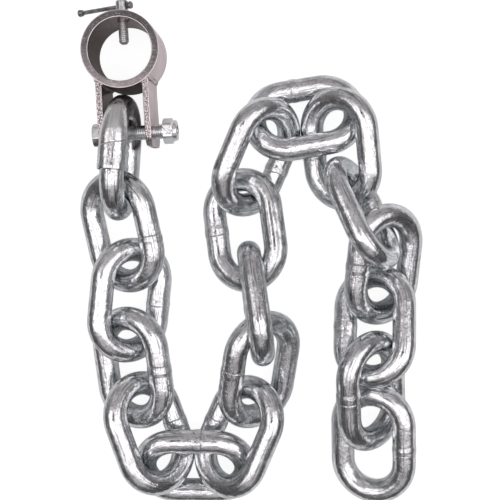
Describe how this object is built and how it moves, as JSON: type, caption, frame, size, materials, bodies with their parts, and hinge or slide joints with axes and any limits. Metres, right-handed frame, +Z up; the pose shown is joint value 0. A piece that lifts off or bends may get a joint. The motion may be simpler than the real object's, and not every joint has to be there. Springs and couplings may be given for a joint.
{
  "type": "lifting chain with bar collar",
  "caption": "Heavy welded steel chain laid out in an S, with a pipe collar, clevis bolt and clamp screw at one end, for loading a lifting bar.",
  "frame": {"origin": "middle of the laid-out chain and collar, at floor level", "axes": "+Z up from the floor, +Y towards the collar's end of the layout, +X to the right in the picture"},
  "size_m": [0.289, 0.4178, 0.08],
  "materials": {
    "chain_link": "bright zinc plating",
    "collar_ring": "nickel plating over a turned pipe",
    "left_cheek": "nickel plating",
    "right_cheek": "nickel plating",
    "clevis_bolt": "bright zinc plating",
    "clevis_nut": "bright zinc plating",
    "clamp_screw": "bright zinc plating",
    "tommy_bar": "dull steel"
  },
  "bodies": {
    "chain": {"link_01": "chain_link", "link_02": "chain_link", "link_03": "chain_link", "link_04": "chain_link", "link_05": "chain_link", "link_06": "chain_link", "link_07": "chain_link", "link_08": "chain_link", "link_09": "chain_link", "link_10": "chain_link", "link_11": "chain_link", "link_12": "chain_link", "link_13": "chain_link", "link_14": "chain_link", "link_15": "chain_link", "link_16": "chain_link", "link_17": "chain_link", "link_18": "chain_link"},
    "collar": {"collar_ring": "collar_ring", "left_cheek": "left_cheek", "right_cheek": "right_cheek", "clevis_bolt": "clevis_bolt", "clevis_nut": "clevis_nut"},
    "clamp": {"clamp_screw": "clamp_screw"},
    "bar": {"tommy_bar": "tommy_bar"}
  },
  "joints": [
    {"name": "collar_hinge", "type": "hinge", "parent": "chain", "child": "collar", "pos_m": [-0.09782, 0.0991, 0.0273], "axis": [0.9981, 0.0611, 0], "range_deg": [-90, 21]},
    {"name": "clamp_screw_travel", "type": "slide", "parent": "collar", "child": "clamp", "axis": [-0.0611, 0.9981, 0], "range_m": [-0.0025, 0.018]},
    {"name": "tommy_bar_slide", "type": "slide", "parent": "clamp", "child": "bar", "axis": [0.9046, 0.0553, 0.4226], "range_m": [0, 0.0335]}
  ]
}
